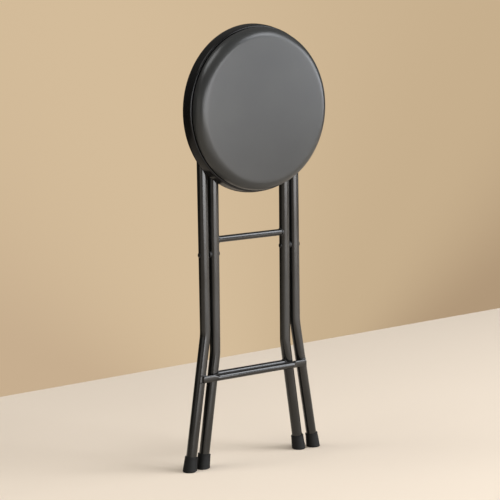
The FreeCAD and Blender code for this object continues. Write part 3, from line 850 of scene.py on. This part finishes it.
@dataclass
class PressedCrossbar:
    """The front crossbar: a round rod whose ends are pressed flat where they lie on the legs."""

    height: float = 166.0
    radius: float = ROD_RADIUS
    stand_off: float = 13.5
    back: float = 9.1
    end_thickness: float = 6.2
    end_height: float = 6.35
    tip: float = 116.45
    flat: float = 24.0
    slope: float = 9.0
    slope_steps: int = 12
    squareness: float = 0.45
    end_rounding: float = 3.0
    end_draw: float = 0.22
    end_thinning: float = 0.8
    end_steps: tuple[float, ...] = (1.0, 0.6, 0.3, 0.12, 0.03, 0.0)
    sides: int = 40

    @property
    def slope_start(self) -> float:
        """The distance from the middle at which the round rod starts to flatten."""
        return self.tip - self.flat - self.slope

    def section(self, across: float) -> tuple[float, float, float, float]:
        """Give the bar's depth, half thickness, half height and squareness at a place."""
        share = eased((abs(across) - self.slope_start) / self.slope)
        middle = -self.stand_off + share * (self.stand_off - self.back - self.end_thickness / 2)
        half = self.radius + share * (self.end_thickness / 2 - self.radius)
        tall = self.radius + share * (self.end_height - self.radius)
        return middle, half, tall, share

    def build(self, hoop: BentFrame) -> None:
        """Loft the bar from tip to tip and round both ends."""
        start = self.slope_start
        steps = self.slope_steps
        right = [0.0] + [start + self.slope * step / steps for step in range(steps + 1)]
        right += [self.tip - self.end_rounding * left for left in self.end_steps]
        stations = [-across for across in reversed(right[1:])] + right
        points = []
        rows = []
        for across in stations:
            middle, half, tall, square = self.section(across)
            # The last millimetres draw in a little, as a sheared and tumbled end does.
            spent = max(0.0, 1 - (self.tip - abs(across)) / self.end_rounding)
            gone = 1 - math.sqrt(1 - spent**2)
            tall *= 1 - self.end_draw * gone
            half -= self.end_thinning * gone
            power = 1.0 - self.squareness * square
            rows.append(list(range(len(points), len(points) + self.sides)))
            for step in range(self.sides):
                angle = math.tau * step / self.sides
                deep = math.copysign(abs(math.cos(angle)) ** power, math.cos(angle)) * half
                high = math.copysign(abs(math.sin(angle)) ** power, math.sin(angle)) * tall
                points.append(hoop.placed(across, middle + deep, self.height + high))
        faces = skin(rows, self.sides)
        faces += [rows[0], rows[-1]]
        piece = new_piece("pressed_crossbar", points, faces, 50.0)
        finished(piece, TUBE_COAT, hoop.body, "frame_paint", "outer_crossbar")


@dataclass
class Welds:
    """The weld beads that hold the rods and the pressed bar to the legs."""

    bead: float = 1.25
    ripple: float = 1.7
    seed: int = 7
    rod_heights: tuple[float, float] = (413.0, 168.3)
    bar_edge: float = 6.6
    seam_reach: float = 5.5
    saddle_steps: int = 36
    seam_steps: int = 12

    def saddle(self, hoop: BentFrame, side: int, height: float) -> list[Vector]:
        """Give the closed line where a round rod meets the inside of a leg."""
        points = []
        reach = ROD_RADIUS + 0.35 * self.bead
        for step in range(self.saddle_steps):
            angle = math.tau * step / self.saddle_steps
            deep, up = reach * math.cos(angle), height + reach * math.sin(angle)
            axis = hoop.axis_at(up) if height < hoop.knee_height else hoop.half_width
            across = axis - math.sqrt(TUBE_RADIUS**2 - deep**2) - 0.1 * self.bead
            points.append(hoop.placed(side * across, deep, up))
        return points

    def seam(self, hoop: BentFrame, side: int, height: float) -> list[Vector]:
        """Give the short line along an edge of the pressed bar, across the front of a leg."""
        points = []
        for step in range(self.seam_steps + 1):
            along = -self.seam_reach + 2 * self.seam_reach * step / self.seam_steps
            front = -math.sqrt(TUBE_RADIUS**2 - along**2) - 0.2 * self.bead
            points.append(hoop.placed(side * (hoop.axis_at(height) + along), front, height))
        return points

    def lay(
        self, name: str, body: Body, lines: Sequence[list[Vector]], closed: bool,
        tree: NodeTree,
    ) -> None:
        """Lay beads along some lines that are on one body.

        Args:
            name: the piece's name.
            body: the body that it rides on.
            lines: each line's points.
            closed: whether the lines run back to their start.
            tree: the bead's node tree.
        """
        points: list[Vector] = []
        edges: list[tuple[int, int]] = []
        for line in lines:
            edges += chain(len(line), len(points), closed)
            points += line
        beads = grown(
            name, points, edges, tree, sharp=70.0, Radius=self.bead * MM,
            Ripple=self.ripple * MM, Seed=self.seed, Finish=TUBE_COAT.material(),
        )
        finished(beads, TUBE_COAT, body, "frame_paint")

    def build(
        self, inner: BentFrame, outer: BentFrame, bar_height: float, tree: NodeTree
    ) -> None:
        """Weld the two rods into the inner hoop and the pressed bar onto the outer one."""
        saddles = [
            self.saddle(inner, side, height) for height in self.rod_heights for side in (-1, 1)
        ]
        seams = [
            self.seam(outer, side, bar_height + edge * self.bar_edge)
            for edge in (-1, 1) for side in (-1, 1)
        ]
        self.lay("inner_weld_beads", Body.INNER, saddles, True, tree)
        self.lay("outer_weld_beads", Body.OUTER, seams, False, tree)


@dataclass
class SeatPan:
    """The pressed steel pan: a skirt with a folded back edge, a rounded lip and a flange inside."""

    radius: float = 150.0
    lip: float = 147.4
    gap: float = 10.6
    front: float = 30.0
    wall: float = 1.2
    corner: float = 2.6
    hole: float = 128.0
    hem: float = 1.15
    sides: int = 192

    def profile(self) -> Profile:
        """Give the closed outline of the pan's wall: radius and distance out of the frames."""
        draft = math.degrees(math.atan2(self.radius - self.lip, self.front - self.gap))
        corner_centre = (self.lip - self.corner, self.front - self.corner)
        flange_centre = (self.hole + self.wall / 2, self.front - self.wall / 2)
        hem_centre = (self.radius - self.hem, self.gap + self.hem)
        return [
            (self.radius - 0.4, self.gap + 6.0),
            *arc(corner_centre, self.corner, draft, 90, 8),
            *arc(flange_centre, self.wall / 2, 90, 270, 6),
            *arc(corner_centre, self.corner - self.wall, 90, draft, 6),
            (self.radius - self.wall - 0.55, self.gap + 4.8),
            (self.radius - self.wall - 0.9, self.gap + 3.6),
            *arc(hem_centre, self.hem, 180, 360, 10),
        ]

    def build(self, place: Matrix) -> None:
        """Turn the pan and dress it."""
        points, rows = lathe_rows(self.profile(), self.sides)
        placed = [place @ (Vector(point) * MM) for point in points]
        piece = new_piece("pressed_pan", placed, skin(rows, self.sides, ring=True), 60.0)
        finished(piece, PAN_COAT, Body.SEAT, "pan_paint", "seat_pan")


@dataclass
class PaddedSeat:
    """The padded top: vinyl drawn over foam and turned in under the board in small gathers."""

    radius: float = 144.4
    foot: float = 140.6
    level: float = 30.08
    belt: float = 4.2
    edge: float = 18.0
    rise: float = 24.2
    hem: float = 125.5
    swell: float = 0.6
    slack_share: float = 0.6
    held_reach: float = 2.4
    frames: int = 20
    evening_rounds: int = 60
    gathers: int = 64
    gather_depth: float = 0.16
    gather_reach: float = 6.5
    dome_steps: int = 22
    sides: int = 192
    cloth: ClassVar[dict[str, float]] = {
        "quality": 6, "mass": 0.25, "tension_stiffness": 60, "compression_stiffness": 60,
        "bending_stiffness": 8, "use_pressure": True, "uniform_pressure_force": 4.0,
    }

    def profile(self, rise: float) -> Profile:
        """Give the outline, from a crown of the given rise down to under the board."""
        belt_level = self.level + self.belt
        edge_x = self.radius - self.edge
        height = rise - self.belt
        crown = (edge_x**2 + height**2 - self.edge**2) / (2 * (height - self.edge))
        centre_z = belt_level + height - crown
        join = math.degrees(math.atan2(belt_level - centre_z, edge_x))
        # The crown's own arc, seen from its far centre, from the axis out to the rounded edge.
        steps = self.dome_steps
        sweep = [math.radians((90 - join) * step / steps) for step in range(steps + 1)]
        dome = [(crown * math.sin(turn), centre_z + crown * math.cos(turn)) for turn in sweep]
        spread = self.radius - self.foot
        side = (spread**2 + self.belt**2) / (2 * spread)
        end = -math.degrees(math.asin(self.belt / side))
        return [
            *dome,
            *arc((edge_x, belt_level), self.edge, join, 0, 12)[1:],
            *arc((self.radius - side, belt_level), side, 0, end, 8)[1:],
            (self.foot - 1.0, self.level - 0.06),
            (self.foot - 4.0, self.level),
            (self.hem + 2.0, self.level),
            (self.hem + 0.4, self.level + 0.1),
            (self.hem, self.level + 0.5),
            (self.hem, self.level + 1.6),
            (self.hem - 6.0, self.level + 2.2),
            (0.0, self.level + 2.2),
        ]

    def inflate(self, piece: Object, place: Matrix) -> None:
        """Let the cover swell over its filling as cloth, held at the board.

        Args:
            piece: the cushion, where it stands in the scene.
            place: the seat's place, which tells how far out of the board a point is.
        """
        inverse = place.inverted()
        start = [vertex.co.copy() for vertex in piece.data.vertices]
        edge = (self.level + self.held_reach) * MM
        still = [number for number, spot in enumerate(start) if (inverse @ spot).z < edge]
        held = piece.vertex_groups.new(name="held")
        held.add(still, 1.0, "REPLACE")
        cloth = piece.modifiers.new("swell", "CLOTH")
        for name, value in self.cloth.items():
            setattr(cloth.settings, name, value)
        cloth.settings.vertex_group_mass = held.name
        cloth.settings.effector_weights.gravity = 0
        cloth.collision_settings.use_collision = False
        cloth.collision_settings.use_self_collision = False
        cloth.point_cache.frame_start = 1
        cloth.point_cache.frame_end = self.frames
        for number in range(1, self.frames + 1):
            bpy.context.scene.frame_set(number)
        baked(piece)
        moves = [vertex.co - before for vertex, before in zip(piece.data.vertices, start)]
        moves = self.evened(piece.data, moves)
        most = self.swell * MM
        for vertex, before, move in zip(piece.data.vertices, start, moves):
            vertex.co = before + (move.normalized() * most if move.length > most else move)
        piece.vertex_groups.clear()
        bpy.context.scene.frame_set(1)

    def evened(self, mesh: Mesh, moves: list[Vector]) -> list[Vector]:
        """Average each point's move with its neighbours', which takes small dents away."""
        first, second = numpy.array([edge.vertices[:] for edge in mesh.edges]).T
        ways = numpy.array(moves)
        count = 1 + numpy.bincount(numpy.concatenate((first, second)), minlength=len(ways))
        for _ in range(self.evening_rounds):
            total = ways.copy()
            numpy.add.at(total, first, ways[second])
            numpy.add.at(total, second, ways[first])
            ways = total / count[:, None]
        return [Vector(way) for way in ways]

    def gather(self, point: Vector) -> Vector:
        """Draw the foot of the side into shallow gathers that fade out above the lip."""
        share = 1 - min(1.0, max(0.0, (point.z / MM - self.level) / self.gather_reach))
        radius = math.hypot(point.x, point.y)
        if share <= 0 or radius < self.hem * MM:
            return point
        angle = math.atan2(point.y, point.x)
        wave = math.sin(self.gathers * angle) + 0.5 * math.sin(self.gathers * 1.618 * angle + 1.3)
        grow = 1 + self.gather_depth * MM * share * wave / radius
        return Vector((point.x * grow, point.y * grow, point.z))

    def build(self, place: Matrix) -> None:
        """Turn the cushion a little slack, gather its foot, swell it and dress it."""
        profile = self.profile(self.rise - self.slack_share * self.swell)
        points, rows = lathe_rows(profile, self.sides)
        placed = [place @ self.gather(Vector(point) * MM) for point in points]
        piece = new_piece("padded_vinyl_seat", placed, skin(rows, self.sides), 80.0)
        self.inflate(piece, place)
        piece.modifiers.new("finer", "SUBSURF").levels = 1
        baked(piece)
        piece.data.shade_smooth()
        finished(piece, VINYL, Body.SEAT, "cover_vinyl", "seat_cover", "seat_foam")


@dataclass
class CrossScrew:
    """A cross recessed pan head wood screw, its head behind what it holds."""

    head: float = 3.9
    dome: float = 2.2
    skirt: float = 0.25
    recess_reach: float = 2.2
    recess_width: float = 0.62
    recess_depth: float = 1.3
    recess_taper: float = 0.45
    rings: tuple[float, ...] = (
        0.0, 0.35, 0.7, 1.0, 1.3, 1.6, 1.9, 2.15, 2.4, 2.8, 3.2, 3.5, 3.75,
    )
    sides: int = 48

    def head_object(self) -> Object:
        """Make one head with its face towards +Y and its seat at the origin."""
        sphere = (self.head**2 + self.dome**2) / (2 * self.dome)
        profile = [
            (radius, self.dome - sphere + math.sqrt(sphere**2 - radius**2))
            for radius in (*self.rings, self.head)
        ]
        profile += [(self.head, -self.skirt), (0.0, -self.skirt)]
        points, rows = lathe_rows(profile, self.sides)
        sunk = []
        for across, up, out in points:
            share = math.hypot(across, up) / self.recess_reach
            if min(abs(across), abs(up)) <= self.recess_width and share <= 1 and out > 0:
                out -= self.recess_depth * (1 - self.recess_taper * share)
            sunk.append(Vector((across, out, up)) * MM)
        return new_piece("screw_pattern", sunk, skin(rows, self.sides), 40.0)

    def places(self, node: str) -> list[Vector]:
        """Find where each screw of a group's node has the seat of its head, on its axis."""
        shell = solid_shell(node)
        places = []
        seen: set[int] = set()
        for vertex in shell.verts:
            if vertex.index in seen:
                continue
            island = [vertex]
            seen.add(vertex.index)
            for member in island:
                for edge in member.link_edges:
                    other = edge.other_vert(member)
                    if other.index not in seen:
                        seen.add(other.index)
                        island.append(other)
            across = [member.co.x for member in island]
            up = [member.co.z for member in island]
            back = max(member.co.y for member in island) - self.dome * MM
            places.append(
                Vector(((min(across) + max(across)) / 2, back, (min(up) + max(up)) / 2))
            )
        shell.free()
        return places

    def build(
        self, name: str, node: str, tree: NodeTree, head: Object, seed: int
    ) -> None:
        """Set a head on each screw of one group.

        Args:
            name: the piece's name.
            node: the group of screws that it stands for.
            tree: the node tree that sets them.
            head: the head that is repeated.
            seed: what their turns are drawn from.
        """
        piece = grown(
            name, self.places(node), [], tree, sharp=40.0,
            Screw=head, Seed=seed, Finish=ZINC.material(),
        )
        finished(piece, ZINC, Body.SEAT, "screw_steel", node)


class Stool:
    """The whole stool, piece by piece."""

    def __init__(self) -> None:
        """Set out the two frames and the trees that make what repeats."""
        self.placing = Placing()
        self.inner = BentFrame(
            "inner_hoop", "inner_frame_tube", Body.INNER, self.placing.standing(),
            half_width=79.5, bar_height=583.0, knee_height=208.3, flare=8.4,
        )
        self.outer = BentFrame(
            "outer_hoop", "outer_frame_tube", Body.OUTER, self.placing.leaning(),
            half_width=101.6, bar_height=603.8, knee_height=244.5, flare=9.3,
        )
        self.tube_tree = TubeTree().build()
        self.bead_tree = BeadTree().build()
        self.head_tree = HeadTree().build()

    def build_frames(self) -> None:
        """Make both hoops, their feet, the pressed crossbar and the weld beads."""
        foot = RubberFoot()
        for hoop, prefix in ((self.inner, "inner"), (self.outer, "outer")):
            hoop.build(self.tube_tree)
            foot.build(f"{prefix}_foot_left", hoop, -1)
            foot.build(f"{prefix}_foot_right", hoop, 1)
        bar = PressedCrossbar()
        bar.build(self.outer)
        Welds().build(self.inner, self.outer, bar.height, self.bead_tree)

    def build_seat(self) -> None:
        """Make the pan, the cushion, the hinges, the clips and the screws."""
        place = self.placing.seat()
        SeatPan().build(place)
        PaddedSeat().build(place)
        for side in ("left", "right"):
            for node, name, bevel, finish, slot in SIDE_PARTS:
                piece = softened(f"{node}_{side}", f"{name}_{side}", bevel)
                finished(piece, finish, Body.SEAT, slot, f"{node}_{side}")
        screw = CrossScrew()
        head = screw.head_object()
        for seed, group in enumerate(("hinge", "clip", "pan"), start=3):
            screw.build(f"{group}_screw_heads", f"{group}_screws", self.head_tree, head, seed)
        bpy.data.objects.remove(head)

    def dress_solids(self) -> None:
        """Give the solids that keep their shape their finish."""
        for node, finish in CAD_FINISHES.items():
            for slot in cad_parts[node].material_slots:
                slot.material = finish.material()
            log.info("%s: keeps its solid, in %s", node, finish.name)


@dataclass(frozen=True)
class SoftBox:
    """One soft box: where it hangs, its width and height, its power in watts and what it faces."""

    name: str
    spot: Point
    size: tuple[float, float]
    power: float
    look: Point
    colour: str = "#ffffff"

    def hang(self) -> None:
        """Hang the box, lit but not seen by the camera."""
        data = bpy.data.lights.new(self.name, "AREA")
        data.shape = "RECTANGLE"
        data.size, data.size_y = self.size
        data.energy = self.power
        data.color = linear(self.colour)[:3]
        lamp = linked(self.name, data)
        lamp.location = self.spot
        lamp.rotation_mode = "QUATERNION"
        towards = Vector(self.look) - Vector(self.spot)
        lamp.rotation_quaternion = towards.to_track_quat("-Z", "Y")
        lamp.visible_camera = False


# The last of them is a white card on the floor, out of the picture, which lights up the shins.
SOFT_BOXES = (
    SoftBox("key_box", (0.1, -4.18, 0.8), (5.0, 1.6), 216.0, (0.0, 0.0, 0.8), "#fdfdff"),
    SoftBox("right_box", (3.05, -1.75, 1.05), (2.6, 1.5), 92.0, (0.0, 0.0, 0.7), "#f6f9ff"),
    SoftBox("high_box", (2.0, -2.0, 2.6), (1.8, 1.4), 74.0, (0.0, 0.0, 0.7), "#f6f9ff"),
    SoftBox("left_top_box", (-1.5, 0.3, 2.9), (1.5, 1.5), 36.0, (-0.7, 0.0, 0.0)),
    SoftBox("left_fill", (-3.3, -1.1, 0.9), (2.4, 1.4), 10.0, (0.0, 0.0, 0.6), "#fdfaf4"),
    SoftBox("floor_card", (0.14, -1.65, 0.01), (2.4, 2.0), 14.0, (0.14, -1.65, 1.0)),
)


@dataclass
class Studio:
    """A pale floor, a warm far ground, soft lamps and the photograph's camera."""

    target: Point = (0.0007, 0.0212, 0.3867)
    azimuth: float = 36.712
    pitch: float = 8.668
    roll: float = 0.55
    distance: float = 3.2501
    lens: float = 129.6
    floor: Surface = FloorPaint("pale_floor", "#dfd1bf")
    far_ground: Surface = FarGround("warm_far_ground", "#4f463b")
    floor_line: tuple[Point, Point] = ((-0.1232, 0.7449, 0.0), (1.4120, 0.8088, 0.0))
    floor_reach: float = 14.0
    far_reach: float = 300.0
    sky_colour: str = "#f5f0e9"

    def camera(self) -> None:
        """Set the camera where the photograph was taken from."""
        turn, tilt = math.radians(self.azimuth), math.radians(self.pitch)
        back = Vector(
            (-math.sin(turn) * math.cos(tilt), -math.cos(turn) * math.cos(tilt), math.sin(tilt))
        )
        data = bpy.data.cameras.new("camera")
        data.lens = self.lens
        data.sensor_width = 36.0
        data.clip_start, data.clip_end = 0.05, 1000.0
        camera = linked("camera", data)
        camera.location = Vector(self.target) + back * self.distance
        camera.rotation_mode = "QUATERNION"
        level = (-back).to_track_quat("-Z", "Y")
        camera.rotation_quaternion = level @ Quaternion((0, 0, 1), -math.radians(self.roll))
        bpy.context.scene.camera = camera

    def ground(self) -> None:
        """Lay the pale floor up to the photograph's line, and the warm ground beyond it."""
        start, end = (Vector(point) for point in self.floor_line)
        along = (end - start).normalized()
        away = Vector((-along.y, along.x, 0.0))
        centre = (start + end) / 2
        for name, surface, near, far in (
            ("floor", self.floor, -self.floor_reach, 0.0),
            ("far_ground", self.far_ground, 0.0, self.far_reach),
        ):
            half = max(self.floor_reach, far)
            corners = [
                centre + along * half * side + away * depth
                for side, depth in ((-1, near), (1, near), (1, far), (-1, far))
            ]
            mesh = bpy.data.meshes.new(name)
            mesh.from_pydata(corners, [], [(0, 1, 2, 3)])
            mesh.materials.append(surface.material())
            linked(name, mesh)

    def room(self) -> None:
        """Set the even light of the room.

        The room is dim at the height of the eye and bright overhead, so upright steel stays
        dark at its edges while the floor's shadow stays soft.
        """
        world = bpy.data.worlds.new("room")
        bpy.context.scene.world = world
        world.use_nodes = True
        nodes = Nodes(world.node_tree)
        way = nodes.out("ShaderNodeTexCoord", socket="Generated")
        height = nodes.out("ShaderNodeSeparateXYZ", {"Vector": way}, "Z")
        strength = nodes.ranged(height, 0.03, 0.42, start=(0.1, 0.95))
        background = world.node_tree.nodes["Background"]
        background.inputs["Color"].default_value = linear(self.sky_colour)
        world.node_tree.links.new(strength, background.inputs["Strength"])

    def build(self) -> None:
        """Set up the camera, the ground and the light."""
        self.camera()
        self.ground()
        for box in SOFT_BOXES:
            box.hang()
        self.room()
        bpy.context.scene.view_settings.view_transform = "Standard"


def main() -> None:
    """Build the studio and the stool."""
    Studio().build()
    stool = Stool()
    stool.dress_solids()
    stool.build_frames()
    stool.build_seat()


if __name__ == "__main__":
    main()
